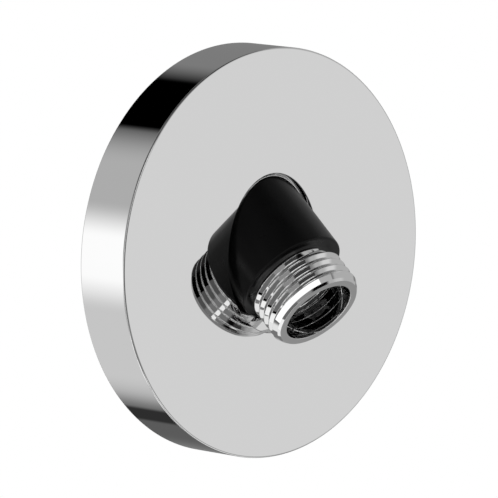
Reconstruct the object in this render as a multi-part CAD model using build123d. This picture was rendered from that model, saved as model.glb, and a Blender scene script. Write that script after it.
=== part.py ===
from build123d import *
import os
from math import atan2, cos, degrees, radians, sin, tan

# Wall outlet for a shower hose: a round cover, a black sleeve that leans down out of it, and a
# threaded spigot for the hose, with a non-return valve inside.
# Frame: the wall is the plane Y = 0 and the room is at -Y. +Z is up and +X is to the right when
# the fitting is seen from the room. The origin is on the inlet's axis, in the wall plane.
# "depth" is measured from the cover's face towards the wall, and "out" along the outlet's axis
# from the point where it crosses that face.

# Cover
cover_r = 43.4              # outer radius of the round cover
cover_depth = 13.0          # from the wall to the cover's face
front_wall = 1.8            # thickness of the face
rim_wall = 2.0              # thickness of the rim
front_edge_r = 0.4          # rounding of the edge between face and rim
back_edge_r = 0.3
corner_r = 1.2              # rounding inside, between face and rim
hole_edge_r = 0.2
hole_gap = 1.15             # from the sleeve to the edge of the oval hole, at the face
far = 40.0                  # length of cutting blocks that reach past every piece

# Outlet
tilt = 40.0                 # degrees that the outlet leans down from the horizontal
thread_r = 20.955 / 2       # G 1/2, major radius
bore_r = 7.9                # bore at the spigot's mouth
valve_bore_r = 7.7          # narrower bore below it, which holds the valve
mouth_out = 17.45           # end of the spigot
lip_out = 7.35              # end face of the sleeve
sleeve_r = 12.0
sleeve_edge_r = 0.45
collar_t = 0.8              # inner collar at the sleeve's end, held under the spigot
fit_gap = 0.15              # gap round pieces that slide over each other
end_face_r = 9.35           # flat ring at the spigot's mouth
end_step_r = 9.6
end_step = 0.45             # short steep band behind the flat ring
end_cone = 1.2              # length of the lead-in cone

# Elbow
neck_r = 10.4
shank_r = 9.0               # the spigot's fixing thread, inside the neck
shank_gap = 0.05
slip = 0.1                  # gap between pieces that lie next to each other
shank_end_out = 2.3
seal_t = 1.0                # flat seals
knee_r = 6.0
channel_r = 5.0
flange_r = 19.4
flange_t = 2.2
boss_r = 15.0
boss_step_r = 12.9          # the part of the boss that passes through the plate
boss_edge_r = 1.0
ring_flange = 0.8           # part of the centring ring that the cover clamps
ring_lap = 1.6              # how far it reaches under the cover
ring_top_depth = 0.7        # visible top edge of the centring ring
foot_top_depth = 0.9        # the sleeve's foot, at its highest point
foot_low_depth = 2.5        # and at its lowest

# Inlet
inlet_length = 13.0         # thread behind the wall plane
inlet_chamfer = 1.2
inlet_start = 0.0           # the nipple's shoulder, in the wall plane
plug_r = 8.8
plug_gap = 0.05
socket_wall = 0.68          # between the spigot's seat and the inlet's socket
key_flat = 5.5              # half the width across the flats of the hexagon
inlet_bore_r = 6.4
ring_section = 1.4          # squeezed thickness of the sealing rings
ring_width = 1.9
ring_corner = 0.35
groove_width = 2.0
groove_land = 0.6
notch_half = 1.3            # V groove for the locking screw
notch_depth = 0.9

# Plate and seals behind the cover
plate_t = 2.4
seal_w = 2.8                # width of the wall seal
gasket_in = 14.5            # soft ring let into the plate's back
gasket_w = 3.2
gasket_t = 1.0
rib_ring_gap = 5.4          # from the cover's rim to the outer rib ring
rib_ring_w = 2.0
ribs = 8
rib_depth = 3.6             # how far the ribs stand out of the plate
rib_t = 1.6
window_w = 7.0
window_r = 25.5
window_sweep = 26.0
slot_inset = 6.5            # slots for two wall screws, in from the outer rib ring
slot_half = 2.3
slot_travel = 3.5

# Screws
grub_r = 2.0
grub_length = 6.0
grub_key_flat = 1.0
grub_cone = 1.6
grub_bite = 0.3             # gap at the locking screw's tip
lug_half = 5.0
lug_w = 5.0
lug_depth = 9.0
pad_half = 4.0
pad_w = 4.4
key_way_half = 2.5          # channel in the plate for the key of the locking screw
key_way_floor = 0.8
pad_low = 2.6               # distance of the screw pad from the wall
pad_high = 9.6

# Non-return valve
valve_floor = 1.1
valve_wall = 1.8
valve_groove = 0.9          # depth of the ring groove in the valve's wall
valve_groove_rise = 1.4     # from the seat to that groove
valve_length = 6.7
valve_gap = 0.1
seat_r = 4.2
retainer_t = 1.1
retainer_w = 1.4
retainer_key = 1.6
guide_t = 0.8
guide_lip = 0.3
guide_rim = 1.0
leg_w = 1.1
hub_r = 2.9
stem_r = 1.1
stem_gap = 0.2
poppet_r = 5.1
poppet_t = 0.7
nose_r = 3.4
nose_t = 0.6
poppet_seal_t = 0.5
poppet_margin = 0.2
spring_r = 2.4
wire_r = 0.2
spring_pitch = 0.9

# Planes and places worked out from the sizes above
lean = radians(tilt)
face_y = -cover_depth
outlet = Plane(origin=(0, face_y, 0), x_dir=(1, 0, 0), z_dir=(0, sin(lean), -cos(lean)))
wall = Plane(origin=(0, 0, 0), x_dir=(1, 0, 0), z_dir=(0, 0, 1))

inner_r = cover_r - rim_wall
hole_x = sleeve_r + hole_gap
hole_z = sleeve_r / cos(lean) + hole_gap
sleeve_bore_r = thread_r + fit_gap
neck_end_out = lip_out - collar_t
flange_y = face_y + front_wall + ring_flange
plate_y = -plate_t
seat_low = (shank_end_out - seal_t) * cos(lean) - (shank_r + shank_gap) * sin(lean)
socket_y = face_y - seat_low + socket_wall
plate_hole_r = boss_step_r + slip
seal_out_r = inner_r - slip
plate_r = seal_out_r - seal_w
rib_ring_out = inner_r - rib_ring_gap
rib_ring_in = rib_ring_out - rib_ring_w
lug_in = rib_ring_out - lug_w
pad_in = inner_r - pad_w
cover_screw_y = (pad_low + pad_high) / 2
slot_x = rib_ring_in - slot_inset
lock_y = socket_y + slip + groove_land * 2 + groove_width + notch_half
valve_r = valve_bore_r - valve_gap
valve_start = shank_end_out
valve_end = valve_start + valve_length
seat_out = valve_start + valve_floor
poppet_low = seat_out + poppet_seal_t
poppet_top = poppet_low + poppet_t
guide_low = valve_end - guide_t
guide_r = valve_r - valve_wall + guide_lip
groove_low = seat_out + valve_groove_rise


def ring(inner, outer, start, end, seat=wall):
    """A flat ring or tube round the Y axis of a plane, or a disc where inner is 0."""
    section = Pos((inner + outer) / 2, (start + end) / 2) * Rectangle(outer - inner, end - start)
    return seat * revolve(section, Axis.Y)


def turned(points, seat=wall):
    """A turned solid: points are (radius, place along the axis) round a closed outline."""
    return seat * revolve(make_face(Polyline(*points, close=True)), Axis.Y)


def squeezed_ring(inner, outer, middle, width, seat=wall):
    """A sealing ring pressed into its groove, with rounded corners."""
    section = Pos((inner + outer) / 2, middle) * RectangleRounded(outer - inner, width, ring_corner)
    return seat * revolve(section, Axis.Y)


def oval(half_x, half_z, depth, length, centre_z=0.0):
    """A straight oval block that starts at a depth below the face and runs to the wall side."""
    at = Plane(origin=(0, face_y + depth, centre_z), x_dir=(1, 0, 0), z_dir=(0, 1, 0))
    return extrude(at * Ellipse(half_x, half_z), length)


def slab(low_y, high_y):
    """A block between two planes square to the Y axis, for trimming."""
    return Pos(0, (low_y + high_y) / 2, 0) * Box(2 * far, high_y - low_y, 2 * far)


def in_front_of_foot():
    """The space on the room side of the sleeve's slightly sloping foot."""
    rise = 2 * hole_z
    slope = degrees(atan2(foot_low_depth - foot_top_depth, rise))
    middle = (foot_low_depth + foot_top_depth) / 2
    place = Pos(0, face_y + middle, 0) * Rot(slope, 0, 0)
    return place * Pos(0, -far, 0) * Box(2 * far, 2 * far, 2 * far)


def grub_screw(tip, end):
    """A headless screw along +Z, from its cone tip up to its hexagon socket."""
    body = Pos(0, 0, (tip + end + grub_cone) / 2) * Cylinder(grub_r, end - tip - grub_cone)
    point = Pos(0, 0, tip + grub_cone / 2) * Cone(grub_r - grub_cone, grub_r, grub_cone)
    socket = RegularPolygon(grub_key_flat, 6, major_radius=False)
    return body + point - Pos(0, 0, end) * extrude(socket, -grub_length / 3)


def cover():
    """The polished cup: a face with an oval hole, a rim, and the pad for its screw."""
    outline = Polyline((0, face_y), (cover_r, face_y), (cover_r, 0), (inner_r, 0),
                       (inner_r, face_y + front_wall), (0, face_y + front_wall), close=True)
    section = make_face(outline)
    corners = section.vertices()
    section = fillet(corners.sort_by_distance((cover_r, face_y))[0], front_edge_r)
    section = fillet(section.vertices().sort_by_distance((cover_r, 0))[0], back_edge_r)
    section = fillet(section.vertices().sort_by_distance((inner_r, face_y + front_wall))[0], corner_r)
    cup = revolve(section, Axis.Y)
    pad_height = inner_r + rim_wall / 2 - pad_in
    pad = Pos(0, -(pad_low + pad_high) / 2, -pad_in - pad_height / 2)
    cup += pad * Box(2 * pad_half, pad_high - pad_low, pad_height)
    cup -= oval(hole_x, hole_z, 0, front_wall)
    rim_edges = cup.edges().filter_by(GeomType.ELLIPSE).group_by(Axis.Y)[0]
    cup = fillet(rim_edges, hole_edge_r)
    return cup - Pos(0, -cover_screw_y, -cover_r) * Cylinder(grub_r, 3 * (cover_r - pad_in))


def cover_screw():
    """The screw in the rim's lowest point, pressed against the plate's lug."""
    tip = rib_ring_out - grub_cone
    return Pos(0, -cover_screw_y, 0) * Rot(180, 0, 0) * grub_screw(tip, tip + grub_length)


def centring_ring():
    """The bright ring that fills the gap between the cover's hole and the sleeve."""
    top_z = tan(lean) * ring_top_depth
    low = Plane(origin=(0, face_y + front_wall, 0), x_dir=(1, 0, 0), z_dir=(0, 1, 0))
    top = Plane(origin=(0, face_y + ring_top_depth, top_z), x_dir=(1, 0, 0), z_dir=(0, 1, 0))
    slope = loft([top * Ellipse(sleeve_r + slip, sleeve_r / cos(lean) + slip),
                  low * Ellipse(hole_x - slip, hole_z - slip)])
    foot = oval(hole_x + ring_lap, hole_z + ring_lap, front_wall, ring_flange)
    seat = ring(0, sleeve_r, -far, mouth_out, outlet) & in_front_of_foot()
    way = ring(0, neck_r + fit_gap, -far, lip_out, outlet)
    return slope + foot - seat - way


def sleeve():
    """The black sleeve over the neck, cut off along its foot, with a collar at its lip."""
    tube = ring(sleeve_bore_r, sleeve_r, -far, lip_out, outlet)
    collar = ring(shank_r + fit_gap, sleeve_r, neck_end_out, lip_out, outlet)
    body = (tube + collar) & in_front_of_foot()
    lip = body.edges().filter_by(GeomType.CIRCLE).filter_by(
        lambda edge: abs(edge.radius - sleeve_r) < 0.01)
    return fillet(lip, sleeve_edge_r)


def outlet_spigot():
    """The turned spigot: a G 1/2 outside for the hose and a fixing thread below it."""
    cone_out = mouth_out - end_step - end_cone
    outline = [(bore_r, mouth_out), (end_face_r, mouth_out), (end_step_r, mouth_out - end_step),
               (thread_r, cone_out), (thread_r, lip_out), (shank_r, lip_out),
               (shank_r, shank_end_out), (valve_bore_r, shank_end_out),
               (valve_bore_r, valve_end + retainer_t), (bore_r, valve_end + retainer_t)]
    return turned(outline, outlet)


def spigot_seal():
    """The flat seal under the spigot, which also carries the valve."""
    return ring(knee_r + slip, shank_r, shank_end_out - seal_t, shank_end_out, outlet)


def elbow_body():
    """The cast elbow: flange, boss and leaning neck, with its two seats and the knee between."""
    neck = ring(0, neck_r, -far, neck_end_out, outlet) & slab(face_y - far, flange_y + flange_t / 2)
    flange = ring(0, flange_r, flange_y, flange_y + flange_t)
    boss = ring(0, boss_r, flange_y + flange_t, plate_y) + ring(0, boss_step_r, plate_y, inlet_start)
    body = neck + flange + boss
    body = fillet(body.edges().filter_by(GeomType.CIRCLE).filter_by(
        lambda edge: abs(edge.radius - boss_r) < 0.01 and edge.center().Y < plate_y - 1), boss_edge_r)
    body -= ring(0, shank_r + shank_gap, shank_end_out - seal_t, neck_end_out + 1, outlet)
    body -= ring(0, knee_r, 0, shank_end_out, outlet)
    body -= Pos(0, face_y, 0) * Sphere(knee_r)
    body -= ring(0, channel_r, face_y, socket_y)
    body -= ring(0, plug_r + plug_gap, socket_y, inlet_start)
    return body - Pos(0, lock_y, boss_r) * Cylinder(grub_r, boss_r)


def body_screw():
    """The locking screw in the top of the boss, with its tip in the nipple's groove."""
    tip = plug_r - notch_depth + grub_bite
    return Pos(0, lock_y, 0) * grub_screw(tip, tip + grub_length)


def inlet_nipple():
    """The nipple that screws into the wall, with the plug that the elbow slides over."""
    plug_end = socket_y + slip
    groove = plug_end + groove_land
    end_r = thread_r - inlet_chamfer
    outline = [(channel_r, plug_end), (plug_r, plug_end), (plug_r, groove),
               (plug_r - ring_section + plug_gap, groove),
               (plug_r - ring_section + plug_gap, groove + groove_width),
               (plug_r, groove + groove_width), (plug_r, lock_y - notch_half),
               (plug_r - notch_depth, lock_y), (plug_r, lock_y + notch_half),
               (plug_r, inlet_start), (thread_r, inlet_start),
               (thread_r, inlet_length - inlet_chamfer), (end_r, inlet_length),
               (inlet_bore_r, inlet_length), (inlet_bore_r, inlet_length / 3),
               (channel_r, inlet_length / 3 - (inlet_bore_r - channel_r))]
    body = turned(outline)
    key = Plane(origin=(0, plug_end, 0), x_dir=(1, 0, 0), z_dir=(0, 1, 0))
    return body - extrude(key * RegularPolygon(key_flat, 6, major_radius=False), inlet_start - plug_end)


def nipple_seal():
    """The sealing ring on the nipple's plug."""
    middle = socket_y + slip + groove_land + groove_width / 2
    outer = plug_r + plug_gap
    return squeezed_ring(outer - ring_section, outer, middle, ring_width)


def mounting_plate():
    """The cast plate behind the cover: ribs, windows, screw slots and the lug for the cover."""
    plate = ring(plate_hole_r, plate_r, plate_y, 0)
    plate += ring(rib_ring_in, rib_ring_out, plate_y - rib_depth, plate_y)
    plate += ring(boss_r + boss_edge_r, boss_r + boss_edge_r + rib_t, plate_y - rib_depth, plate_y)
    span = rib_ring_in - boss_r
    for turn in range(ribs):
        rib = Pos(boss_r + boss_edge_r + span / 2, plate_y - rib_depth / 2, 0) * Box(span, rib_depth, rib_t)
        plate += Rot(0, 360 / ribs * (turn + 0.5), 0) * rib
    window = Plane(origin=(0, plate_y, 0), x_dir=(1, 0, 0), z_dir=(0, 1, 0))
    arc = CenterArc((0, 0), window_r, -window_sweep / 2, window_sweep)
    hole = extrude(window * SlotArc(arc, window_w), plate_t)
    for turn in (1, 2, 3, 5, 6, 7):
        plate -= Rot(0, 360 / ribs * turn, 0) * hole
    for side in (-1, 1):
        slot = Plane(origin=(side * slot_x, plate_y, 0), x_dir=(1, 0, 0), z_dir=(0, 1, 0))
        plate -= extrude(slot * SlotCenterToCenter(slot_travel, 2 * slot_half), plate_t)
    lug = Pos(0, -lug_depth / 2, -(lug_in + rib_ring_out) / 2)
    plate += lug * Box(2 * lug_half, lug_depth, rib_ring_out - lug_in)
    way_depth = plate_t + rib_depth - key_way_floor
    key_place = Pos(0, -key_way_floor - way_depth / 2, plate_r / 2)
    key_way = key_place * Box(2 * key_way_half, way_depth, plate_r)
    return plate - key_way - cover_screw() - inlet_gasket()


def wall_seal():
    """The soft ring between the plate's edge and the cover's rim."""
    return ring(plate_r, seal_out_r, plate_y, 0)


def inlet_gasket():
    """The soft ring in the plate's back, round the inlet."""
    return ring(gasket_in, gasket_in + gasket_w, -gasket_t, 0)


def valve_housing():
    """The valve's cup: the seat at its low end, a ring groove outside, a step for the guide."""
    groove_high = groove_low + groove_width
    groove_r = valve_r - valve_groove
    inside = valve_r - valve_wall
    outline = [(seat_r, valve_start), (valve_r, valve_start), (valve_r, groove_low),
               (groove_r, groove_low), (groove_r, groove_high), (valve_r, groove_high),
               (valve_r, valve_end), (guide_r, valve_end), (guide_r, guide_low),
               (inside, guide_low), (inside, seat_out), (seat_r, seat_out)]
    return turned(outline, outlet)


def valve_ring():
    """The sealing ring between the valve and the spigot's bore."""
    middle = groove_low + groove_width / 2
    return squeezed_ring(valve_r - valve_groove, valve_bore_r, middle, ring_width, outlet)


def valve_poppet():
    """The moving disc with its nose and its stem."""
    outline = [(0, poppet_low - nose_t - poppet_seal_t), (nose_r, poppet_low - nose_t - poppet_seal_t),
               (nose_r, poppet_low), (poppet_r, poppet_low), (poppet_r, poppet_top),
               (stem_r, poppet_top), (stem_r, valve_end), (0, valve_end)]
    return turned(outline, outlet)


def poppet_seal():
    """The soft ring under the disc, which closes on the seat."""
    return ring(nose_r, poppet_r - poppet_margin, seat_out, poppet_low, outlet)


def valve_guide():
    """The three-legged guide for the stem."""
    guide = ring(guide_r - guide_rim, guide_r, guide_low, valve_end, outlet)
    guide += ring(stem_r + stem_gap, hub_r, guide_low, valve_end, outlet)
    reach = guide_r - guide_rim / 2 - (hub_r + stem_r) / 2
    leg = Pos((guide_r - guide_rim / 2 + (hub_r + stem_r) / 2) / 2, (guide_low + valve_end) / 2, 0)
    for turn in range(3):
        guide += outlet * (Rot(0, 120 * turn + 90, 0) * leg * Box(reach, guide_t, leg_w))
    return guide


def valve_spring():
    """The light spring between the disc and the guide."""
    height = guide_low - poppet_top - 2 * wire_r
    path = Helix(spring_pitch, height, spring_r)
    wire = sweep(Plane(origin=path @ 0, z_dir=path % 0) * Circle(wire_r), path=path, is_frenet=True)
    stand = Pos(0, poppet_top + wire_r, 0) * Rot(-90, 0, 0)
    return outlet * (stand * wire)


def valve_retainer():
    """The ring screwed into the spigot's bore above the valve, with two key slots."""
    retainer = ring(valve_r - retainer_w, valve_r, valve_end, valve_end + retainer_t, outlet)
    key = Pos(0, valve_end + retainer_t, 0) * Box(2 * bore_r, retainer_t, retainer_key)
    return retainer - outlet * key


pieces = {
    "cover": cover(),
    "cover_screw": cover_screw(),
    "centring_ring": centring_ring(),
    "sleeve": sleeve(),
    "outlet_spigot": outlet_spigot(),
    "spigot_seal": spigot_seal(),
    "elbow_body": elbow_body(),
    "body_screw": body_screw(),
    "inlet_nipple": inlet_nipple(),
    "nipple_seal": nipple_seal(),
    "mounting_plate": mounting_plate(),
    "wall_seal": wall_seal(),
    "inlet_gasket": inlet_gasket(),
    "valve_housing": valve_housing(),
    "valve_ring": valve_ring(),
    "valve_poppet": valve_poppet(),
    "poppet_seal": poppet_seal(),
    "valve_guide": valve_guide(),
    "valve_spring": valve_spring(),
    "valve_retainer": valve_retainer(),
}

os.makedirs("parts", exist_ok=True)
for name, piece in pieces.items():
    export_step(piece, f"parts/{name}.step")
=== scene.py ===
"""The looks of a shower outlet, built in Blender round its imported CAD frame.

The wall is the plane Y = 0, the room is at -Y and +Z is up. Sizes are in millimetres in the
dataclass fields and in metres in the meshes. Distances along the outlet's axis count from
the point where that axis crosses the cover's face.
"""
from __future__ import annotations

import logging
import math
from contextlib import contextmanager
from dataclasses import dataclass
from enum import Enum
from typing import Any, Callable, Iterator, Mapping, Sequence

import bmesh
import bpy
from mathutils import Matrix, Vector

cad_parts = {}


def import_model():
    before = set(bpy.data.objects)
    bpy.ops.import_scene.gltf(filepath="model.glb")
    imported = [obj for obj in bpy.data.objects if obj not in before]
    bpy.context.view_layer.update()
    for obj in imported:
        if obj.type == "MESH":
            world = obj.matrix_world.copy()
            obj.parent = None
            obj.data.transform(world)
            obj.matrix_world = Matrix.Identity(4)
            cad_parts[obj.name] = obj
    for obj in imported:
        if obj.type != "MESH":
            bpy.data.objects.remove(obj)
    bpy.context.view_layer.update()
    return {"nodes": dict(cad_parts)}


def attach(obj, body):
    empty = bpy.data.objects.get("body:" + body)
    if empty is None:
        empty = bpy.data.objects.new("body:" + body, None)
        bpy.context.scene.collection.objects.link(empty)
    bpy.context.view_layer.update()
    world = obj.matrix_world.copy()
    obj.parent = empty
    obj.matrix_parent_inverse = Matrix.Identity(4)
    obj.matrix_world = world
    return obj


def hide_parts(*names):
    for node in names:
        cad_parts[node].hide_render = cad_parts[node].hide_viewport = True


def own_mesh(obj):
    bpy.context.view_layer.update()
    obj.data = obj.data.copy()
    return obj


log = logging.getLogger("shower_outlet")

Piece = bpy.types.Object
Mesh = bpy.types.Mesh
Material = bpy.types.Material
Tree = bpy.types.NodeTree
Socket = bpy.types.NodeSocket
Profile = Sequence[tuple[float, float]]
Share = Callable[[float, float], float]

MM = 0.001
LEAN = math.radians(40.0)
FACE_Y = -13.0
SLEEVE_R = 12.0
HOLE_X = 13.15
HOLE_Z = SLEEVE_R / math.cos(LEAN) + 1.15
PIPE_R = 20.955 / 2
PIPE_PITCH = 1.814
SUPPORT = 0.03
SUPPORT_SHARE = 0.04
ROUNDING_SHARE = 0.45
TINY = 1e-8
SOCKET_CREASE = math.radians(35)
FIXED_BODY = "fitting"


class Slot(Enum):
    """The record's material slot names, which seat() is given for the built pieces."""

    CHROME = "chrome"
    BRASS = "brass"
    BLACK = "black"
    RUBBER = "rubber"
    STEEL = "steel"


@dataclass(frozen=True)
class Axis:
    """A place and direction that turned pieces are built on.

    Attributes:
        origin: The point at distance 0, in millimetres.
        along: The unit vector of the axis.
        side: The unit vector at angle 0.
    """

    origin: Vector
    along: Vector
    side: Vector = Vector((1, 0, 0))

    def point(self, radius: float, angle: float, distance: float) -> Vector:
        """A point in metres from its radius, angle and distance along the axis."""
        spoke = self.side * math.cos(angle) + self.along.cross(self.side) * math.sin(angle)
        return (self.origin + self.along * distance + spoke * radius) * MM

    def split(self, point: Vector) -> tuple[float, Vector]:
        """Takes a point apart.

        Args:
            point: The point in metres.

        Returns:
            Its distance along the axis and its arm away from the axis, in millimetres.
        """
        arm = point / MM - self.origin
        distance = arm.dot(self.along)
        return distance, arm - self.along * distance

    def angle(self, arm: Vector) -> float:
        """The angle in radians at which an arm stands."""
        return math.atan2(arm.dot(self.along.cross(self.side)), arm.dot(self.side))


INLET = Axis(Vector((0, 0, 0)), Vector((0, 1, 0)))
OUTLET = Axis(Vector((0, FACE_Y, 0)), Vector((0, -math.cos(LEAN), -math.sin(LEAN))))


def direction(azimuth: float, elevation: float) -> Vector:
    """The unit vector at an azimuth from -Y towards +X and an elevation, both in degrees."""
    a, e = math.radians(azimuth), math.radians(elevation)
    return Vector((math.sin(a) * math.cos(e), -math.cos(a) * math.cos(e), math.sin(e)))


def ramp(value: float, low: float, high: float) -> float:
    """A smooth step from 0 at low to 1 at high."""
    share = min(1.0, max(0.0, (value - low) / (high - low)))
    return share * share * (3 - 2 * share)


@dataclass(frozen=True)
class Corner:
    """One corner of a turned profile: radius, distance along the axis and rounding."""

    r: float
    s: float
    fillet: float = 0.05


def rounded(corners: Sequence[Corner], steps: int) -> list[tuple[float, float]]:
    """Rounds the corners of a closed profile and adds a support point beside each.

    Args:
        corners: The profile's corners in order.
        steps: Segments in each rounded corner.

    Returns:
        The (radius, distance) points of the closed profile.
    """
    points: list[tuple[float, float]] = []
    for index, corner in enumerate(corners):
        last_corner, next_corner = corners[index - 1], corners[(index + 1) % len(corners)]
        here = Vector((corner.r, corner.s))
        before = Vector((last_corner.r, last_corner.s)) - here
        after = Vector((next_corner.r, next_corner.s)) - here
        half = before.angle(after) / 2
        reach = min(corner.fillet / math.tan(half), ROUNDING_SHARE * before.length,
                    ROUNDING_SHARE * after.length)
        a, b = before.normalized(), after.normalized()
        centre = here + (a + b).normalized() * (reach * math.tan(half) / math.sin(half))
        start, end = here + a * reach, here + b * reach
        support = min(SUPPORT, SUPPORT_SHARE * before.length, SUPPORT_SHARE * after.length)
        points.append(tuple(start + a * support))
        first, last = start - centre, end - centre
        sweep = first.angle(last)
        for step in range(steps + 1):
            share = step / steps
            blend = first * math.sin((1 - share) * sweep) + last * math.sin(share * sweep)
            points.append(tuple(centre + blend / math.sin(sweep)))
        points.append(tuple(end + b * support))
    return points


def divided(points: Profile, low: float, high: float, step: float,
            keep: Callable[[float, float], bool]) -> list[tuple[float, float]]:
    """Adds points to the stretch of a profile that a thread is cut into.

    Args:
        points: The closed profile.
        low: Lower end of the stretch, along the axis.
        high: Upper end of the stretch.
        step: Largest distance between neighbouring points there.
        keep: Says from radius and distance whether a point is on the threaded side.

    Returns:
        The profile with the extra points.
    """
    made: list[tuple[float, float]] = []
    for index, (r, s) in enumerate(points):
        next_r, next_s = points[(index + 1) % len(points)]
        made.append((r, s))
        middle = ((r + next_r) / 2, (s + next_s) / 2)
        length = math.dist((r, s), (next_r, next_s))
        if low <= middle[1] <= high and keep(*middle) and length > step:
            parts = math.ceil(length / step)
            made += [(r + (next_r - r) * part / parts, s + (next_s - s) * part / parts)
                     for part in range(1, parts)]
    return made


def loop_faces(loops: int, count: int, closed: bool = True) -> list[tuple[int, int, int, int]]:
    """Joins loops of points into a skin.

    Args:
        loops: Number of loops.
        count: Points in each loop.
        closed: Whether the last loop joins the first.

    Returns:
        The vertex indices of each face.
    """
    faces = []
    for loop in range(loops if closed else loops - 1):
        here, ahead = loop * count, (loop + 1) % loops * count
        for index in range(count):
            after = (index + 1) % count
            faces.append((here + index, here + after, ahead + after, ahead + index))
    return faces


def shade_smooth(mesh: Mesh) -> None:
    """Gives every face of a mesh smooth shading."""
    mesh.polygons.foreach_set("use_smooth", [True] * len(mesh.polygons))


@contextmanager
def editing(mesh: Mesh) -> Iterator[bmesh.types.BMesh]:
    """Opens a mesh for edits, and writes it back with its faces turned outwards.

    Args:
        mesh: The mesh to edit.

    Yields:
        Its editable form.
    """
    made = bmesh.new()
    made.from_mesh(mesh)
    yield made
    bmesh.ops.recalc_face_normals(made, faces=made.faces)
    made.to_mesh(mesh)
    made.free()


def new_object(name: str, data: bpy.types.ID) -> Piece:
    """Links a new object into the scene.

    Args:
        name: Name of the object.
        data: The mesh or camera that it holds.

    Returns:
        The object.
    """
    made = bpy.data.objects.new(name, data)
    bpy.context.scene.collection.objects.link(made)
    return made


def mesh_from(name: str, points: Sequence[Vector], faces: Sequence[Sequence[int]]) -> Piece:
    """Makes a smooth-shaded object with its faces turned outwards.

    Args:
        name: Name of the piece.
        points: Vertices in metres.
        faces: Vertex indices of each face.

    Returns:
        The new object.
    """
    mesh = bpy.data.meshes.new(name)
    mesh.from_pydata([tuple(point) for point in points], [], faces)
    with editing(mesh) as made:
        bmesh.ops.remove_doubles(made, verts=made.verts, dist=TINY)
    shade_smooth(mesh)
    mesh.update()
    return new_object(name, mesh)


def turned(name: str, profile: Profile, axis: Axis, segments: int) -> Piece:
    """Turns a closed profile round an axis.

    Args:
        name: Name of the piece.
        profile: (radius, distance) points in millimetres.
        axis: The axis to turn it round.
        segments: Number of steps round the axis.

    Returns:
        The closed solid of revolution.
    """
    points = [axis.point(r, 2 * math.pi * turn / segments, s)
              for turn in range(segments) for r, s in profile]
    return mesh_from(name, points, loop_faces(segments, len(profile)))


def bake(piece: Piece) -> Mesh:
    """Turns a piece and its modifiers into a plain smooth mesh.

    Args:
        piece: The object with the modifiers, which are removed.

    Returns:
        The piece's new mesh.
    """
    graph = bpy.context.evaluated_depsgraph_get()
    graph.update()
    mesh = bpy.data.meshes.new_from_object(piece.evaluated_get(graph), depsgraph=graph)
    piece.modifiers.clear()
    old = piece.data
    piece.data = mesh
    mesh.name = piece.name
    bpy.data.meshes.remove(old)
    shade_smooth(mesh)
    return mesh


def weld(piece: Piece, gap: float) -> None:
    """Merges points that are very close together and drops what is left loose.

    Args:
        piece: The object to clean.
        gap: Largest distance between merged points, in metres.
    """
    with editing(piece.data) as made:
        bmesh.ops.remove_doubles(made, verts=made.verts, dist=gap)
        bmesh.ops.dissolve_degenerate(made, edges=made.edges, dist=gap / 2)
        loose = [vertex for vertex in made.verts if not vertex.link_faces]
        bmesh.ops.delete(made, geom=loose, context="VERTS")


def add_node(tree: Tree, kind: str, inputs: Mapping[Any, Any] | None = None,
             **settings: str) -> bpy.types.Node:
    """Adds a node to a tree.

    Args:
        tree: The node tree.
        kind: The node's type.
        inputs: A socket to link or a value to set, for each input by its name or number.
        **settings: The node's own options, which are set first.

    Returns:
        The new node.
    """
    made = tree.nodes.new(kind)
    for name, option in settings.items():
        setattr(made, name, option)
    for key, value in (inputs or {}).items():
        if isinstance(value, Socket):
            tree.links.new(value, made.inputs[key])
        else:
            made.inputs[key].default_value = value
    return made


def math_node(tree: Tree, operation: str, *values: Any) -> Socket:
    """Adds a Math node fed with sockets and numbers, and returns its output."""
    return add_node(tree, "ShaderNodeMath", dict(enumerate(values)), operation=operation).outputs[0]


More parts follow.
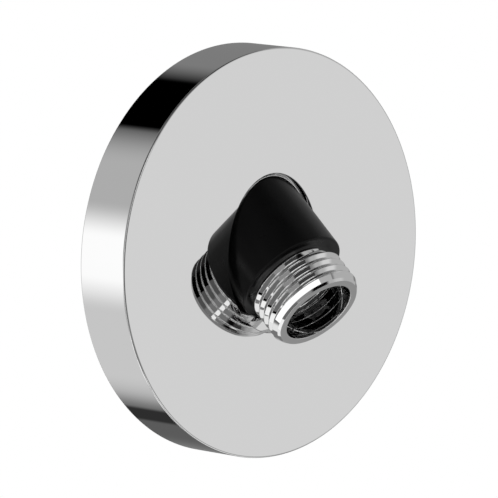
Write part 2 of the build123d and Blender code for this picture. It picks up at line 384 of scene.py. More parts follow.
@dataclass(frozen=True)
class Finish:
    """A surface that a material is made from.

    Attributes:
        name: Name of the material.
        color: Linear base colour.
        metallic: 1 for bare metal.
        roughness: Middle of the roughness range.
        spread: How far the roughness varies each way.
        grain: Size of the roughness pattern, in millimetres.
        bump: Height of the surface's grain, in millimetres.
        bump_grain: Size of that grain, in millimetres.
        mottle: How much the colour varies.
        gloss: Strength of a dull material's mirror layer.
    """

    name: str
    color: tuple[float, float, float]
    metallic: float
    roughness: float
    spread: float
    grain: float
    bump: float
    bump_grain: float
    mottle: float = 0.0
    gloss: float = 0.5

    def _tinted(self, share: float) -> tuple[float, ...]:
        """The colour made darker or lighter by a share, with full alpha."""
        return (*[min(1.0, value * (1 + share)) for value in self.color], 1.0)

    def material(self) -> Material:
        """Makes the node material the first time, and finds it after that.

        Returns:
            The material.
        """
        made = bpy.data.materials.get(self.name)
        if made:
            return made
        made = bpy.data.materials.new(self.name)
        made.use_nodes = True
        tree = made.node_tree
        shader = tree.nodes["Principled BSDF"]
        shader.inputs["Metallic"].default_value = self.metallic
        shader.inputs["Specular IOR Level"].default_value = self.gloss
        place = add_node(tree, "ShaderNodeTexCoord").outputs["Object"]

        def noise(size: float, detail: float) -> Socket:
            """Adds noise with features of a size in millimetres."""
            return add_node(tree, "ShaderNodeTexNoise", {
                "Vector": place, "Scale": 1 / (size * MM), "Detail": detail}).outputs["Fac"]

        pattern = noise(self.grain, 4.0)
        spread = add_node(tree, "ShaderNodeMapRange", {
            "Value": pattern, "From Min": 0.3, "From Max": 0.7,
            "To Min": self.roughness - self.spread, "To Max": self.roughness + self.spread})
        tree.links.new(spread.outputs["Result"], shader.inputs["Roughness"])
        if self.mottle:
            tint = add_node(tree, "ShaderNodeMix", {
                "Factor": pattern, "A": self._tinted(-self.mottle), "B": self._tinted(self.mottle)},
                data_type="RGBA")
            tree.links.new(tint.outputs["Result"], shader.inputs["Base Color"])
        else:
            shader.inputs["Base Color"].default_value = self._tinted(0.0)
        if self.bump:
            bump = add_node(tree, "ShaderNodeBump", {
                "Strength": 1.0, "Distance": self.bump * MM,
                "Height": noise(self.bump_grain, 3.0)})
            tree.links.new(bump.outputs["Normal"], shader.inputs["Normal"])
        return made


POLISHED_CHROME = Finish("polished_chrome", (0.87, 0.87, 0.87), 1.0, 0.014, 0.005, 9.0, 0.0, 1.0)
SATIN_BLACK = Finish("satin_black_plastic", (0.0025, 0.0025, 0.0026), 0.0, 0.30, 0.03, 3.0,
                     0.001, 0.35, gloss=0.2)
TURNED_BRASS = Finish("turned_brass", (0.66, 0.46, 0.19), 1.0, 0.22, 0.05, 1.2, 0.003, 0.25, 0.05)
CAST_BRASS = Finish("cast_brass", (0.60, 0.42, 0.17), 0.95, 0.34, 0.08, 2.0, 0.02, 0.5, 0.12)
CAST_ZINC = Finish("cast_zinc", (0.36, 0.37, 0.39), 0.9, 0.48, 0.08, 2.0, 0.03, 0.6, 0.10)
SOFT_RUBBER = Finish("soft_rubber", (0.016, 0.016, 0.017), 0.0, 0.62, 0.08, 1.5, 0.01, 0.4, 0.10)
BRIGHT_STEEL = Finish("bright_steel", (0.55, 0.55, 0.56), 0.95, 0.28, 0.06, 1.0, 0.004, 0.3, 0.06)
DARK_PLASTIC = Finish("dark_plastic", (0.004, 0.004, 0.0042), 0.0, 0.36, 0.05, 2.0, 0.003, 0.4,
                      0.05, 0.2)


def dress(piece: Piece, finish: Finish) -> None:
    """Puts a finish on every material slot of a piece.

    Args:
        piece: The object.
        finish: Its finish.
    """
    material = finish.material()
    if not piece.data.materials:
        piece.data.materials.append(material)
    for slot in piece.material_slots:
        slot.material = material


def seat(piece: Piece, finish: Finish, slot: Slot, node: str) -> None:
    """Dresses a built piece, puts it on its body and hides the CAD node it stands for.

    Args:
        piece: The finished mesh.
        finish: Its finish.
        slot: The record's material slot, not used.
        node: The CAD node.
    """
    dress(piece, finish)
    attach(piece, FIXED_BODY)
    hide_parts(node)
    log.info("%s: %d faces, %s", piece.name, len(piece.data.polygons), finish.name)


@dataclass(frozen=True)
class Thread:
    """The form of a helical thread or of fine helical lines.

    Attributes:
        pitch: Distance between crests in millimetres.
        start: Where a crest crosses angle 0, along the axis.
        depth: Depth in millimetres, below 0 for a groove towards the axis.
        ridge: Width of the crest's flat, as a share of the pitch.
        rise: Width of both flanks together, as a share of the pitch.
        rounding: Rounding of crest and root, as a share of the depth.
    """

    pitch: float
    start: float
    depth: float
    ridge: float
    rise: float
    rounding: float


HOSE_THREAD = Thread(PIPE_PITCH, 0.587, -0.72, 0.07, 0.794, 0.03)
MOUTH_LINES = Thread(PIPE_PITCH, 0.587, 0.035, 0.02, 0.06, 0.02)
WALL_THREAD = Thread(PIPE_PITCH, 0.4, -1.16, 0.16, 0.62, 0.1)
SCREW_THREAD = Thread(0.7, 0.1, -0.36, 0.15, 0.75, 0.1)


class ThreadCutter:
    """A Geometry Nodes tree that cuts a helical groove into a turned mesh.

    The mesh carries three attributes: cut (0 to 1), phase (turns along the pitch) and
    away (the unit vector from the axis).
    """

    def __init__(self, material: Material) -> None:
        """Builds the tree.

        Args:
            material: The material that the tree puts on the cut mesh.
        """
        self.tree = bpy.data.node_groups.new("thread_cutter", "GeometryNodeTree")
        face = self.tree.interface
        face.new_socket("Geometry", in_out="INPUT", socket_type="NodeSocketGeometry")
        self.depth, self.ridge, self.rise, self.rounding = [
            face.new_socket(name, in_out="INPUT", socket_type="NodeSocketFloat").identifier
            for name in ("Depth", "Ridge", "Rise", "Rounding")]
        face.new_socket("Geometry", in_out="OUTPUT", socket_type="NodeSocketGeometry")
        self._build(material)

    def _attribute(self, name: str, kind: str) -> Socket:
        """Reads a named attribute."""
        return add_node(self.tree, "GeometryNodeInputNamedAttribute", {"Name": name},
                        data_type=kind).outputs["Attribute"]

    def _build(self, material: Material) -> None:
        """Adds the nodes: a rounded V wave by phase, moved along the away vector.

        Args:
            material: The material for the result.
        """
        tree = self.tree
        given = add_node(tree, "NodeGroupInput").outputs
        turn = math_node(tree, "FRACT", self._attribute("phase", "FLOAT"))
        wave = math_node(tree, "ABSOLUTE", math_node(tree, "MULTIPLY_ADD", turn, 2.0, -1.0))
        past = math_node(tree, "SUBTRACT", wave, given["Ridge"])
        steep = math_node(tree, "DIVIDE", past, given["Rise"])
        low = math_node(tree, "SMOOTH_MAX", steep, 0.0, given["Rounding"])
        both = math_node(tree, "SMOOTH_MIN", low, 1.0, given["Rounding"])
        depth = math_node(tree, "MULTIPLY", both, given["Depth"])
        shift = math_node(tree, "MULTIPLY", depth, self._attribute("cut", "FLOAT"))
        offset = add_node(tree, "ShaderNodeVectorMath", {
            "Vector": self._attribute("away", "FLOAT_VECTOR"), "Scale": shift}, operation="SCALE")
        move = add_node(tree, "GeometryNodeSetPosition", {
            "Geometry": given["Geometry"], "Offset": offset.outputs["Vector"]})
        real = add_node(tree, "GeometryNodeRealizeInstances", {"Geometry": move.outputs["Geometry"]})
        paint = add_node(tree, "GeometryNodeSetMaterial", {
            "Geometry": real.outputs["Geometry"], "Material": material})
        add_node(tree, "NodeGroupOutput", {"Geometry": paint.outputs["Geometry"]})

    def cut(self, piece: Piece, axis: Axis, thread: Thread, share: Share,
            height: Callable[[float], float] = lambda turns: 1.0) -> None:
        """Cuts a thread and bakes it into the piece's mesh.

        Args:
            piece: A turned mesh.
            axis: Its axis.
            thread: The thread's form.
            share: Gives the share of the depth from radius and distance in millimetres.
            height: Gives the share of the ridge's height from the number of turns it has made.
        """
        attributes = piece.data.attributes
        cuts, phases, aways = [], [], []
        for vertex in piece.data.vertices:
            distance, arm = axis.split(vertex.co)
            around = axis.angle(arm) / (2 * math.pi) % 1.0
            place = (distance - thread.start) / thread.pitch - around
            cuts.append(share(arm.length, distance))
            grown = height(math.floor(place + 0.5) + around)
            phase = (place + 0.5) % 1.0
            phases.append(grown * phase if phase < 0.5 else 1 - grown * (1 - phase))
            aways += list(arm / arm.length if arm.length else arm)
        attributes.new("cut", "FLOAT", "POINT").data.foreach_set("value", cuts)
        attributes.new("phase", "FLOAT", "POINT").data.foreach_set("value", phases)
        attributes.new("away", "FLOAT_VECTOR", "POINT").data.foreach_set("vector", aways)
        modifier = piece.modifiers.new("thread", "NODES")
        modifier.node_group = self.tree
        modifier[self.depth] = thread.depth * MM
        modifier[self.ridge] = thread.ridge
        modifier[self.rise] = thread.rise
        modifier[self.rounding] = thread.rounding
        mesh = bake(piece)
        for name in ("cut", "phase", "away"):
            mesh.attributes.remove(mesh.attributes[name])


def cut_hexagon(piece: Piece, axis: Axis, flat: float, low: float, high: float) -> None:
    """Turns a round hole of a turned piece into a hexagon socket.

    Args:
        piece: The turned mesh.
        axis: Its axis.
        flat: Radius of the round hole, and half the width across the hexagon's flats.
        low: Lower end of the socket along the axis.
        high: Upper end of the socket.
    """
    sixth, near = math.pi / 3, 0.02
    for vertex in piece.data.vertices:
        distance, spoke = axis.split(vertex.co)
        if low - near / 2 < distance < high + near / 2 and abs(spoke.length - flat) < near:
            angle = axis.angle(spoke) % sixth - sixth / 2
            vertex.co = (axis.origin + axis.along * distance
                         + spoke.normalized() * (flat / math.cos(angle))) * MM
    piece.data.set_sharp_from_angle(angle=SOCKET_CREASE)


@dataclass
class Cover:
    """The polished round cover with its oval hole and the pad for its screw."""

    radius: float = 43.4
    rim_wall: float = 2.0
    front_wall: float = 1.8
    front_edge: float = 0.4
    back_edge: float = 0.3
    inner_edge: float = 0.15
    corner: float = 1.2
    flat_start: float = HOLE_Z + 5
    hole_edge: float = 0.2
    hole_back: float = 0.1
    edge_steps: int = 5
    pad_half: float = 4.0
    pad_w: float = 4.4
    pad_y: tuple[float, float] = (-9.6, -2.6)
    screw_r: float = 2.0
    segments: int = 360
    screw_sides: int = 64
    crease: float = math.radians(40)

    @staticmethod
    def _hole(angle: float, grow: float) -> tuple[float, float]:
        """Finds a point of the hole's edge.

        Args:
            angle: Angle round the hole, in radians.
            grow: How far the point is moved outwards, square to the edge.

        Returns:
            The point's x and z.
        """
        c, s = math.cos(angle), math.sin(angle)
        reach = 1 / math.hypot(c / HOLE_X, s / HOLE_Z)
        x, z = reach * c, reach * s
        nx, nz = x / HOLE_X ** 2, z / HOLE_Z ** 2
        size = math.hypot(nx, nz)
        return x + nx / size * grow, z + nz / size * grow

    def build(self) -> Piece:
        """Builds the cup as loops from the hole out over the rim and back inside.

        Returns:
            The cup, without its pad.
        """
        inner = self.radius - self.rim_wall
        back = FACE_Y + self.front_wall
        outline = rounded([
            Corner(self.radius, FACE_Y, self.front_edge), Corner(self.radius, 0, self.back_edge),
            Corner(inner, 0, self.inner_edge), Corner(inner, back, self.corner),
            Corner(self.flat_start, back, 0.01), Corner(self.flat_start, FACE_Y, 0.01)], 8)
        rim = [point for point in outline if point[0] > self.flat_start + 0.5]
        turns = [math.pi / 2 * step / self.edge_steps for step in range(self.edge_steps + 1)]
        hole = [(self.hole_edge + SUPPORT, FACE_Y)]
        hole += [(self.hole_edge * (1 - math.sin(turn)), FACE_Y + self.hole_edge * (1 - math.cos(turn)))
                 for turn in turns]
        hole += [(0.0, FACE_Y + self.hole_edge + SUPPORT), (0.0, back - self.hole_back),
                 (0.3 * self.hole_back, back - 0.3 * self.hole_back), (self.hole_back, back),
                 (2 * self.hole_back, back)]
        points = []
        for turn in range(self.segments):
            angle = 2 * math.pi * turn / self.segments
            points += [Vector((r * math.cos(angle), y, r * math.sin(angle))) * MM for r, y in rim]
            for grow, y in reversed(hole):
                x, z = self._hole(angle, grow)
                points.append(Vector((x, y, z)) * MM)
        return mesh_from("round_cover", points, loop_faces(self.segments, len(rim) + len(hole)))

    def add_pad(self, piece: Piece) -> None:
        """Adds the pad for the set screw inside the rim and drills both.

        Args:
            piece: The cup.
        """
        inner = self.radius - self.rim_wall
        low, high = self.pad_y
        bottom, top = -inner - self.rim_wall / 2, self.pad_w - inner
        corners = [Vector((x, y, z)) * MM for x in (-self.pad_half, self.pad_half)
                   for y in (low, high) for z in (bottom, top)]
        sides = [(0, 1, 3, 2), (4, 6, 7, 5), (0, 4, 5, 1), (2, 3, 7, 6), (0, 2, 6, 4), (1, 5, 7, 3)]
        pad = mesh_from("pad", corners, sides)
        centre = Axis(Vector((0, (low + high) / 2, 0)), Vector((0, 0, -1)))
        start, end = inner - 2 * self.pad_w, 2 * self.radius - inner + self.pad_w
        drill = turned("drill", [(0.0, start), (self.screw_r, start), (self.screw_r, end), (0.0, end)],
                       centre, self.screw_sides)
        for other, operation in ((pad, "UNION"), (drill, "DIFFERENCE")):
            modifier = piece.modifiers.new(other.name, "BOOLEAN")
            modifier.operation = operation
            modifier.solver = "EXACT"
            modifier.object = other
        bake(piece).set_sharp_from_angle(angle=self.crease)
        for other in (pad, drill):
            spare = other.data
            bpy.data.objects.remove(other)
            bpy.data.meshes.remove(spare)

    def make(self) -> None:
        """Builds and seats the cover."""
        piece = self.build()
        self.add_pad(piece)
        seat(piece, POLISHED_CHROME, Slot.CHROME, "cover")


@dataclass
class Outlet:
    """The sleeve, the threaded spigot and the bright ring in the cover's hole."""

    bore_r: float = 7.9
    valve_bore_r: float = 7.7
    valve_top: float = 10.1
    mouth: float = 17.45
    lip: float = 7.35
    shank_r: float = 9.0
    shank_end: float = 2.3
    end_face_r: float = 9.47
    end_step_r: float = 9.9
    end_step: float = 0.5
    end_cone: float = 1.1
    thread_begin: float = 4.2
    thread_full: float = 4.36
    thread_step: float = 0.05
    lines_low: float = 11.0
    lines_high: float = 16.9
    lines_step: float = 0.045
    sleeve_edge: float = 0.45
    sleeve_gap: float = 0.15
    sleeve_start: float = -20.0
    sleeve_sides: int = 256
    collar: float = 0.8
    foot_top: float = 0.9
    foot_low: float = 2.5
    ring_top: float = 0.7
    ring_sink: float = 1.1
    ring_shown: tuple[float, float] = (0.1, 0.7)
    ring_low: float = 1.8
    ring_flange: float = 0.8
    ring_lap: float = 1.6
    ring_steps: int = 8
    ring_crease: float = math.radians(30)
    way_r: float = 10.55
    touch: float = 0.02
    slip: float = 0.1
    segments: int = 224

    def spigot(self, cutter: ThreadCutter) -> Piece:
        """Turns the spigot and cuts its outside thread and the fine lines in its mouth.

        Args:
            cutter: The tree that cuts threads.

        Returns:
            The spigot.
        """
        cone_top = self.mouth - self.end_step
        cone_low = cone_top - self.end_cone
        middle = (self.bore_r + PIPE_R) / 2
        profile = rounded([
            Corner(self.bore_r, self.mouth, 0.12), Corner(self.end_face_r, self.mouth, 0.04),
            Corner(self.end_step_r, cone_top, 0.04), Corner(PIPE_R, cone_low, 0.06),
            Corner(PIPE_R, self.lip, 0.02), Corner(self.shank_r, self.lip, 0.02),
            Corner(self.shank_r, self.shank_end, 0.1), Corner(self.valve_bore_r, self.shank_end),
            Corner(self.valve_bore_r, self.valve_top, 0.03), Corner(self.bore_r, self.valve_top, 0.03)], 5)
        profile = divided(profile, self.lip + 0.02, self.mouth - 0.1, self.thread_step,
                          lambda r, s: r > middle)
        profile = divided(profile, self.valve_top + 0.1, self.mouth - 0.2, self.lines_step,
                          lambda r, s: r < middle)
        piece = turned("threaded_spigot", profile, OUTLET, self.segments)

        def outside(r: float, s: float) -> float:
            """Share of the depth outside: from the sleeve's lip to the cone."""
            return 1.0 if r > middle and self.lip - 0.01 < s < cone_low else 0.0

        def inside(r: float, s: float) -> float:
            """Share of the depth in the mouth."""
            return 1.0 if r < middle and self.lines_low < s < self.lines_high else 0.0

        cutter.cut(piece, OUTLET, HOSE_THREAD, outside,
                   lambda turns: ramp(turns, self.thread_begin, self.thread_full))
        cutter.cut(piece, OUTLET, MOUTH_LINES, inside)
        return piece

    @staticmethod
    def _oval(radius: float, grow: float, depth: float, angle: float) -> Vector:
        """Finds a point of the oval that a tube on the outlet's axis makes behind the face.

        Args:
            radius: The tube's radius in millimetres.
            grow: Added to both half sizes of the oval.
            depth: Distance behind the cover's face.
            angle: Angle round the tube, in radians.

        Returns:
            The point in metres.
        """
        x = (radius + grow) * math.cos(angle)
        z = math.tan(LEAN) * depth + (radius / math.cos(LEAN) + grow) * math.sin(angle)
        return Vector((x, FACE_Y + depth, z)) * MM

    @staticmethod
    def _hole(grow: float, depth: float, angle: float) -> Vector:
        """A point in metres of the cover's oval hole, moved outwards by grow."""
        return Vector(((HOLE_X + grow) * math.cos(angle), FACE_Y + depth,
                       (HOLE_Z + grow) * math.sin(angle))) * MM

    @property
    def foot_slope(self) -> float:
        """Depth that the sleeve's foot loses for each millimetre up."""
        return (self.foot_low - self.foot_top) / (2 * HOLE_Z)

    @property
    def foot_middle(self) -> float:
        """Depth of the sleeve's foot at the cover's middle."""
        return (self.foot_low + self.foot_top) / 2

    def _foot(self, radius: float, angle: float) -> Vector:
        """Finds a point where a tube meets the sloping plane of the sleeve's foot.

        Args:
            radius: The tube's radius in millimetres.
            angle: Angle round the tube, in radians.

        Returns:
            The point in metres.
        """
        rise = math.tan(LEAN)
        z = ((rise * self.foot_middle + radius / math.cos(LEAN) * math.sin(angle))
             / (1 + rise * self.foot_slope))
        depth = self.foot_middle - z * self.foot_slope
        return Vector((radius * math.cos(angle), FACE_Y + depth, z)) * MM

    def centring_ring(self) -> Piece:
        """Lofts the bright ring between the cover's hole and the sleeve, with its hidden flange.

        Returns:
            The ring, whose edge shows above the sleeve and sinks beside and below it.
        """
        points: list[Vector] = []
        back = self.ring_low + self.ring_flange
        for turn in range(self.segments):
            angle = 2 * math.pi * turn / self.segments
            depth = self.ring_top + self.ring_sink * (1 - ramp(math.sin(angle), *self.ring_shown))
            top = self._oval(SLEEVE_R, self.slip, depth, angle)
            low = self._hole(-self.slip, self.ring_low, angle)
            points += [self._foot(self.way_r, angle), self._foot(SLEEVE_R + self.touch, angle),
                       self._oval(SLEEVE_R, self.touch, depth, angle)]
            points += [top.lerp(low, step / self.ring_steps) for step in range(self.ring_steps + 1)]
            points += [self._hole(self.ring_lap, self.ring_low, angle),
                       self._hole(self.ring_lap, back, angle),
                       self._oval(self.way_r, 0.0, back, angle)]
        count = len(points) // self.segments
        piece = mesh_from("centring_collar", points, loop_faces(self.segments, count))
        piece.data.set_sharp_from_angle(angle=self.ring_crease)
        return piece

    def sleeve(self) -> Piece:
        """Turns the sleeve, whose foot follows the sloping plane behind the cover's face.

        Returns:
            The sleeve.
        """
        tube_r, shank_r = PIPE_R + self.sleeve_gap, self.shank_r + self.sleeve_gap
        profile = rounded([
            Corner(shank_r, self.lip, 0.1), Corner(SLEEVE_R, self.lip, self.sleeve_edge),
            Corner(SLEEVE_R, self.sleeve_start, 0.01), Corner(tube_r, self.sleeve_start, 0.01),
            Corner(tube_r, self.lip - self.collar), Corner(shank_r, self.lip - self.collar)], 6)
        piece = turned("sleeve_tube", profile, OUTLET, self.sleeve_sides)
        normal = Matrix.Rotation(math.atan(self.foot_slope), 3, "X") @ Vector((0, 1, 0))
        with editing(piece.data) as made:
            cut = bmesh.ops.bisect_plane(
                made, geom=made.verts[:] + made.edges[:] + made.faces[:], dist=TINY, clear_outer=True,
                plane_co=Vector((0, FACE_Y + self.foot_middle, 0)) * MM, plane_no=normal)
            edges = [edge for edge in cut["geom_cut"] if isinstance(edge, bmesh.types.BMEdge)]
            bmesh.ops.bridge_loops(made, edges=edges)
            for face in made.faces:
                face.smooth = True
            for edge in edges:
                if edge.is_valid:
                    edge.smooth = False
        return piece

    def make(self, cutter: ThreadCutter) -> None:
        """Builds and seats the outlet's pieces.

        Args:
            cutter: The tree that cuts threads.
        """
        seat(self.sleeve(), SATIN_BLACK, Slot.BLACK, "sleeve")
        seat(self.spigot(cutter), POLISHED_CHROME, Slot.CHROME, "outlet_spigot")
        seat(self.centring_ring(), POLISHED_CHROME, Slot.CHROME, "centring_ring")


@dataclass
class Inlet:
    """The nipple that joins the elbow to the pipe in the wall."""

    length: float = 13.0
    chamfer: float = 1.2
    plug_r: float = 8.8
    plug_end: float = -7.4
    ring_depth: float = 1.35
    groove: tuple[float, float] = (-6.8, -4.8)
    notch: tuple[float, float, float] = (-4.2, -1.6, 0.9)
    channel_r: float = 5.0
    bore_r: float = 6.4
    key_flat: float = 5.5
    thread_low: float = 1.1
    thread_run: float = 1.2
    thread_end: float = 0.2
    thread_step: float = 0.07
    segments: int = 288

    def nipple(self, cutter: ThreadCutter) -> Piece:
        """Turns the nipple, cuts its pipe thread and shapes the hexagon inside.

        Args:
            cutter: The tree that cuts threads.

        Returns:
            The nipple.
        """
        step = self.length / 3
        cone = self.length - self.chamfer
        ring_r = self.plug_r - self.ring_depth
        low, high, deep = self.notch
        profile = rounded([
            Corner(self.key_flat, self.plug_end, 0.02), Corner(self.plug_r, self.plug_end, 0.3),
            Corner(self.plug_r, self.groove[0], 0.1), Corner(ring_r, self.groove[0], 0.1),
            Corner(ring_r, self.groove[1], 0.1), Corner(self.plug_r, self.groove[1], 0.1),
            Corner(self.plug_r, low), Corner(self.plug_r - deep, (low + high) / 2, 0.1),
            Corner(self.plug_r, high), Corner(self.plug_r, 0.0, 0.1), Corner(PIPE_R, 0.0, 0.15),
            Corner(PIPE_R, cone, 0.1), Corner(PIPE_R - self.chamfer, self.length, 0.15),
            Corner(self.bore_r, self.length, 0.2), Corner(self.bore_r, step, 0.1),
            Corner(self.channel_r, step - (self.bore_r - self.channel_r), 0.1),
            Corner(self.channel_r, 0.0, 0.02), Corner(self.key_flat, 0.0, 0.02)], 4)
        between = (self.bore_r + PIPE_R) / 2
        profile = divided(profile, 0.1, self.length, self.thread_step, lambda r, y: r > between)
        piece = turned("threaded_nipple", profile, INLET, self.segments)

        def share(r: float, y: float) -> float:
            """Finds the share of the depth: none near the wall, and less along the chamfer.

            Args:
                r: Radius of a point.
                y: Its distance along the axis.

            Returns:
                The share, from 0 to 1.
            """
            lost = max(0.0, y - cone)
            if r < between or abs(r - (PIPE_R - lost)) > 0.05 or y > self.length - self.thread_end:
                return 0.0
            left = max(0.0, 1 + lost / WALL_THREAD.depth)
            return ramp(y, self.thread_low, self.thread_low + self.thread_run) * left

        cutter.cut(piece, INLET, WALL_THREAD, share)
        cut_hexagon(piece, INLET, self.key_flat, self.plug_end, 0.0)
        return piece

    def make(self, cutter: ThreadCutter) -> None:
        """Builds and seats the nipple."""
        seat(self.nipple(cutter), TURNED_BRASS, Slot.BRASS, "inlet_nipple")


@dataclass
class SoftRings:
    """The seal between plate and cover, and the gasket in the plate's back."""

    seal: tuple[float, float] = (38.5, 41.3)
    seal_depth: float = 2.4
    gasket: tuple[float, float] = (14.5, 17.7)
    gasket_depth: float = 1.0
    edge: float = 0.15
    beads: int = 2
    bead: float = 0.18
    bead_edge: float = 0.08
    segments: int = 256

    def _ring(self, name: str, inner: float, outer: float, depth: float) -> Piece:
        """Turns a flat ring whose wall side carries low round beads.

        Args:
            name: Name of the piece.
            inner: Inner radius.
            outer: Outer radius.
            depth: Thickness from the wall plane into the room.

        Returns:
            The ring.
        """
        corners = [Corner(inner, 0.0, self.edge), Corner(inner, -depth, self.edge),
                   Corner(outer, -depth, self.edge), Corner(outer, 0.0, self.edge)]
        width = (outer - inner) / (2 * self.beads + 1)
        for bead in reversed(range(self.beads)):
            start = inner + width * (2 * bead + 1)
            corners += [Corner(start + width, 0.0, self.bead_edge),
                        Corner(start + width, -self.bead, self.bead_edge),
                        Corner(start, -self.bead, self.bead_edge), Corner(start, 0.0, self.bead_edge)]
        return turned(name, rounded(corners, 4), INLET, self.segments)

    def make(self) -> None:
        """Builds and seats both rings."""
        seal = self._ring("rim_seal", *self.seal, self.seal_depth)
        seat(seal, SOFT_RUBBER, Slot.RUBBER, "wall_seal")
        gasket = self._ring("wall_gasket", *self.gasket, self.gasket_depth)
        seat(gasket, SOFT_RUBBER, Slot.RUBBER, "inlet_gasket")


@dataclass
class SetScrew:
    """A headless screw with a cone point, a fine thread and a hexagon socket.

    Attributes:
        name: Name of the piece.
        node: The CAD node that it stands for.
        axis: Its axis, with distance 0 at the point.
    """

    name: str
    node: str
    axis: Axis
    radius: float = 2.0
    length: float = 6.0
    cone: float = 1.6
    flat: float = 1.0
    socket_tip: float = 0.3
    thread_run: float = 0.3
    thread_end: tuple[float, float] = (0.35, 0.2)
    thread_step: float = 0.05
    weld_gap: float = 2e-6
    segments: int = 96

    def build(self, cutter: ThreadCutter) -> Piece:
        """Turns the screw, cuts its thread and shapes its socket.

        Args:
            cutter: The tree that cuts threads.

        Returns:
            The screw.
        """
        floor = self.length - self.length / 3
        shank = self.radius - 0.05
        profile = rounded([
            Corner(0.0, 0.0, 0.001), Corner(self.radius - self.cone, 0.0),
            Corner(self.radius, self.cone, 0.1), Corner(self.radius, self.length, 0.25),
            Corner(self.flat, self.length), Corner(self.flat, floor, 0.02),
            Corner(0.0, floor - self.socket_tip, 0.001)], 4)
        profile = divided([(max(0.0, r), s) for r, s in profile], self.cone - 0.1, self.length,
                          self.thread_step, lambda r, s: r > shank)
        piece = turned(self.name, profile, self.axis, self.segments)
        fade, none = [self.length - left for left in self.thread_end]

        def share(r: float, s: float) -> float:
            """Share of the depth: full along the shank, none at its ends."""
            grown = ramp(s, self.cone, self.cone + self.thread_run) * (1 - ramp(s, fade, none))
            return 0.0 if r < shank else grown

        cutter.cut(piece, self.axis, SCREW_THREAD, share)
        weld(piece, self.weld_gap)
        cut_hexagon(piece, self.axis, self.flat, floor, self.length)
        return piece

    def make(self, cutter: ThreadCutter) -> None:
        """Builds and seats the screw."""
        seat(self.build(cutter), BRIGHT_STEEL, Slot.STEEL, self.node)


COVER_SCREW = SetScrew("cover_set_screw", "cover_screw",
                       Axis(Vector((0, -6.1, -34.4)), Vector((0, 0, -1))))
BODY_SCREW = SetScrew("locking_screw", "body_screw", Axis(Vector((0, -2.9, 8.2)), Vector((0, 0, 1))))


@dataclass
class ClosingSpring:
    """The coil that shuts the valve, which shortens as the disc slides off its seat."""

    wire_r: float = 0.2
    coil_r: float = 2.4
    pitch: float = 0.9
    low: float = 4.6
    high: float = 8.2
    travel: float = 1.5
    steps: int = 72
    sides: int = 16
    crease: float = math.radians(60)

    def coil(self) -> Piece:
        """Sweeps the wire along its helix.

        Returns:
            The coil, closed at both ends.
        """
        turns = (self.high - self.low - 2 * self.wire_r) / self.pitch
        count = round(turns * self.steps)
        points = []
        for step in range(count + 1):
            angle = 2 * math.pi * turns * step / count
            middle = self.low + self.wire_r + self.pitch * turns * step / count
            for side in range(self.sides):
                around = 2 * math.pi * side / self.sides
                points.append(OUTLET.point(self.coil_r + self.wire_r * math.cos(around), angle,
                                           middle + self.wire_r * math.sin(around)))
        ends = [tuple(range(self.sides)), tuple(range(count * self.sides, (count + 1) * self.sides))]
        piece = mesh_from("closing_spring", points,
                          loop_faces(count + 1, self.sides, closed=False) + ends)
        piece.data.set_sharp_from_angle(angle=self.crease)
        return piece

    def make(self) -> None:
        """Seats the coil."""
        piece = self.coil()
        seat(piece, BRIGHT_STEEL, Slot.STEEL, "valve_spring")
        tuple(OUTLET.along)
        tuple(OUTLET.point(0, 0, self.high))
        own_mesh(piece)


@dataclass(frozen=True)
class Panel:
    """A soft lamp or a dark flag in the studio, placed by direction.

    Attributes:
        azimuth: Degrees from the room's middle (-Y) towards +X.
        elevation: Degrees above the horizontal.
        width: Half its angular width, in degrees.
        height: Half its angular height, in degrees.
        tone: Its brightness.
        soft: Width of its soft edge, as a share of its size.
        roll: Turn about its own middle, in degrees.
    """

    azimuth: float
    elevation: float
    width: float
    height: float
    tone: float
    soft: float
    roll: float = 0.0

    def lay(self, tree: Tree, ray: Socket, level: Any) -> Socket:
        """Adds the nodes that lay the panel over what the world shows so far.

        Args:
            tree: The world's node tree.
            ray: The ray's direction.
            level: The level so far, a number or a socket.

        Returns:
            The new level.
        """
        middle = direction(self.azimuth, self.elevation)
        across = middle.cross(Vector((0, 0, 1))).normalized()
        above = across.cross(middle)
        roll = math.radians(self.roll)
        side = across * math.cos(roll) + above * math.sin(roll)
        top = above * math.cos(roll) - across * math.sin(roll)

        def dot(axis: Vector) -> Socket:
            """The ray's share along an axis."""
            return add_node(tree, "ShaderNodeVectorMath", {0: ray, 1: axis},
                            operation="DOT_PRODUCT").outputs["Value"]

        ahead = math_node(tree, "MAXIMUM", dot(middle), 0.001)
        masks = []
        for axis, half in ((side, self.width), (top, self.height)):
            angle = math_node(tree, "ABSOLUTE", math_node(tree, "ARCTAN2", dot(axis), ahead))
            edge = add_node(tree, "ShaderNodeMapRange", {
                "Value": angle, "From Min": math.radians(half * (1 + self.soft)),
                "From Max": math.radians(half * (1 - self.soft))}, interpolation_type="SMOOTHSTEP")
            masks.append(edge.outputs["Result"])
        mask = math_node(tree, "MULTIPLY", *masks)
        return add_node(tree, "ShaderNodeMix", {"Factor": mask, "A": level, "B": self.tone}).outputs["Result"]


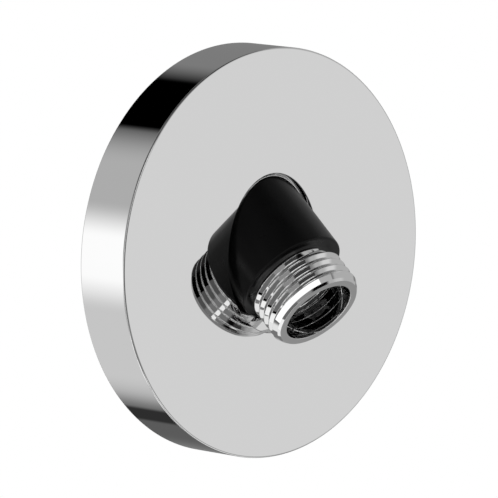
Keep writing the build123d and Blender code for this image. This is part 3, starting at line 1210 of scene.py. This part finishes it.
# Each panel covers those before it, so the order matters.
PANELS = (
    # what the cover's face shows, in a wide grey field
    Panel(60, 5, 44, 39, 0.46, 0.12),
    Panel(43, -7, 11, 12, 0.72, 0.6),
    # what the ring-shaped end of the spigot shows
    Panel(92, -46, 9, 9, 0.29, 0.3),
    # the greys of the rim and its bright middle
    Panel(-150, 27, 22, 20, 0.47, 0.35),
    Panel(-152, -34, 26, 22, 0.64, 0.30),
    Panel(-116, -3, 34, 15.5, 1.14, 0.5),
    Panel(-100, 34, 24, 36, 0.28, 0.2),
    # bright below, dark above
    Panel(28, -66, 34, 12, 1.0, 0.1),
    Panel(-135, -66, 28, 10, 1.0, 0.06),
    Panel(-25, 50, 50, 20, 0.1, 0.1),
    # the thread's flanks, from the light right side to the dark patches
    Panel(12, 18, 16, 12, 0.45, 0.1),
    Panel(-32, -24, 24, 9, 0.27, 0.1, -42),
    Panel(-57, -49, 22, 6, 0.15, 0.06, -49),
    Panel(-84, -67.5, 2.5, 5, 0.0, 0.1, -49),
    Panel(-4, -11, 15.5, 7.5, 0.045, 0.08, -27),
    # the black bar on the step at the spigot's end
    Panel(0, 1, 17, 5.5, 0.003, 0.25, -20),
    # the white band round the cone at the spigot's end
    Panel(-12.5, 21.5, 8.5, 3.5, 1.2, 0.1, -20),
    Panel(-31, 14.5, 26, 4.0, 1.2, 0.1, -42),
    Panel(-69.5, -18.7, 31, 3.4, 1.2, 0.1, -40),
    Panel(-103, -42, 16, 5.5, 1.2, 0.1, -23),
    Panel(-128, -52, 14, 4.5, 1.2, 0.1, -8),
    Panel(-157, -54, 4.5, 4, 0.11, 0.1),
    # dark ceiling
    Panel(-35, 80, 60, 10, 0.0, 0.1),
    # the rim's upper and lower dark bands
    Panel(170, 43.6, 11.5, 16, 0.0, 0.6),
    Panel(-174.5, 44, 12, 18, 0.0, 0.9),
    Panel(178.5, 46, 13.3, 16, 0.0, 0.12),
    Panel(153.5, -37, 17, 16, 0.115, 0.75),
    Panel(163, -42, 4.0, 14, 0.03, 0.3),
)


@dataclass
class Studio:
    """Camera, world and floor."""

    focal_px: float = 6000.0
    frame_px: float = 498.0
    scale_px: float = 4.759
    azimuth: float = -44.638
    elevation: float = 7.884
    aside: float = 5.164
    above: float = -0.855
    sensor: float = 36.0
    clip: tuple[float, float] = (0.01, 100.0)
    plain: float = 0.9
    base: float = 0.22
    floor_z: float = -1400.0
    floor_half: float = 6000.0
    floor_color: tuple[float, float, float, float] = (0.8, 0.8, 0.8, 1)

    def camera(self) -> None:
        """Places the camera as the photograph was taken."""
        data = bpy.data.cameras.new("camera")
        data.sensor_width = self.sensor
        data.lens = self.focal_px / self.frame_px * self.sensor
        data.clip_start, data.clip_end = self.clip
        camera = new_object("camera", data)
        back = direction(self.azimuth, self.elevation)
        right = (-back).cross(Vector((0, 0, 1))).normalized()
        up = right.cross(-back)
        distance = self.focal_px / self.scale_px
        eye = OUTLET.origin + back * distance - right * self.aside - up * self.above
        turn = Matrix((right, up, back)).transposed().to_4x4()
        camera.matrix_world = Matrix.Translation(eye * MM) @ turn
        bpy.context.scene.camera = camera

    def world(self) -> None:
        """Builds the world: a plain level, panels that shiny pieces show, white for the camera."""
        world = bpy.data.worlds.new("studio")
        bpy.context.scene.world = world
        world.use_nodes = True
        tree = world.node_tree
        tree.nodes.clear()
        ray = add_node(tree, "ShaderNodeTexCoord").outputs["Generated"]
        level: Any = self.base
        for panel in PANELS:
            level = panel.lay(tree, ray, level)
        path = add_node(tree, "ShaderNodeLightPath").outputs
        seen = add_node(tree, "ShaderNodeMix", {
            "Factor": path["Is Glossy Ray"], "A": self.plain, "B": level})
        lamp = add_node(tree, "ShaderNodeBackground", {"Color": seen.outputs["Result"]})
        white = add_node(tree, "ShaderNodeBackground", {"Color": (1, 1, 1, 1)})
        mix = add_node(tree, "ShaderNodeMixShader", {
            "Fac": path["Is Camera Ray"], 1: lamp.outputs["Background"], 2: white.outputs["Background"]})
        add_node(tree, "ShaderNodeOutputWorld", {"Surface": mix.outputs["Shader"]})

    def floor(self) -> None:
        """Lays the plain pale floor, white to the camera."""
        corners = [Vector((x * self.floor_half, y * self.floor_half, self.floor_z)) * MM
                   for x, y in ((-1, -1), (1, -1), (1, 1), (-1, 1))]
        mesh = bpy.data.meshes.new("floor")
        mesh.from_pydata([tuple(corner) for corner in corners], [], [(0, 1, 2, 3)])
        floor = new_object("floor", mesh)
        material = bpy.data.materials.new("pale_floor")
        material.use_nodes = True
        tree = material.node_tree
        tree.nodes.clear()
        path = add_node(tree, "ShaderNodeLightPath")
        pale = add_node(tree, "ShaderNodeBsdfDiffuse", {"Color": self.floor_color})
        glow = add_node(tree, "ShaderNodeEmission", {"Strength": 1.0})
        seen = add_node(tree, "ShaderNodeMixShader", {
            "Fac": path.outputs["Is Camera Ray"], 1: pale.outputs["BSDF"], 2: glow.outputs["Emission"]})
        add_node(tree, "ShaderNodeOutputMaterial", {"Surface": seen.outputs["Shader"]})
        mesh.materials.append(material)
        floor.visible_glossy = False

    def make(self) -> None:
        """Sets up the studio."""
        bpy.context.scene.view_settings.view_transform = "Standard"
        self.camera()
        self.world()
        self.floor()


CARRIED_OVER = {
    "elbow_body": CAST_BRASS, "mounting_plate": CAST_ZINC, "spigot_seal": SOFT_RUBBER,
    "nipple_seal": SOFT_RUBBER, "valve_ring": SOFT_RUBBER, "poppet_seal": SOFT_RUBBER,
    "valve_housing": DARK_PLASTIC, "valve_poppet": DARK_PLASTIC, "valve_guide": DARK_PLASTIC,
    "valve_retainer": DARK_PLASTIC,
}


def main() -> None:
    """Builds every piece round the CAD frame and sets up the studio."""
    logging.basicConfig(level=logging.INFO, format="%(name)s: %(message)s")
    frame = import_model()
    Studio().make()
    cutter = ThreadCutter(POLISHED_CHROME.material())
    Cover().make()
    Outlet().make(cutter)
    Inlet().make(cutter)
    SoftRings().make()
    COVER_SCREW.make(cutter)
    BODY_SCREW.make(cutter)
    ClosingSpring().make()
    for name, finish in CARRIED_OVER.items():
        dress(frame["nodes"][name], finish)


if __name__ == "__main__":
    main()
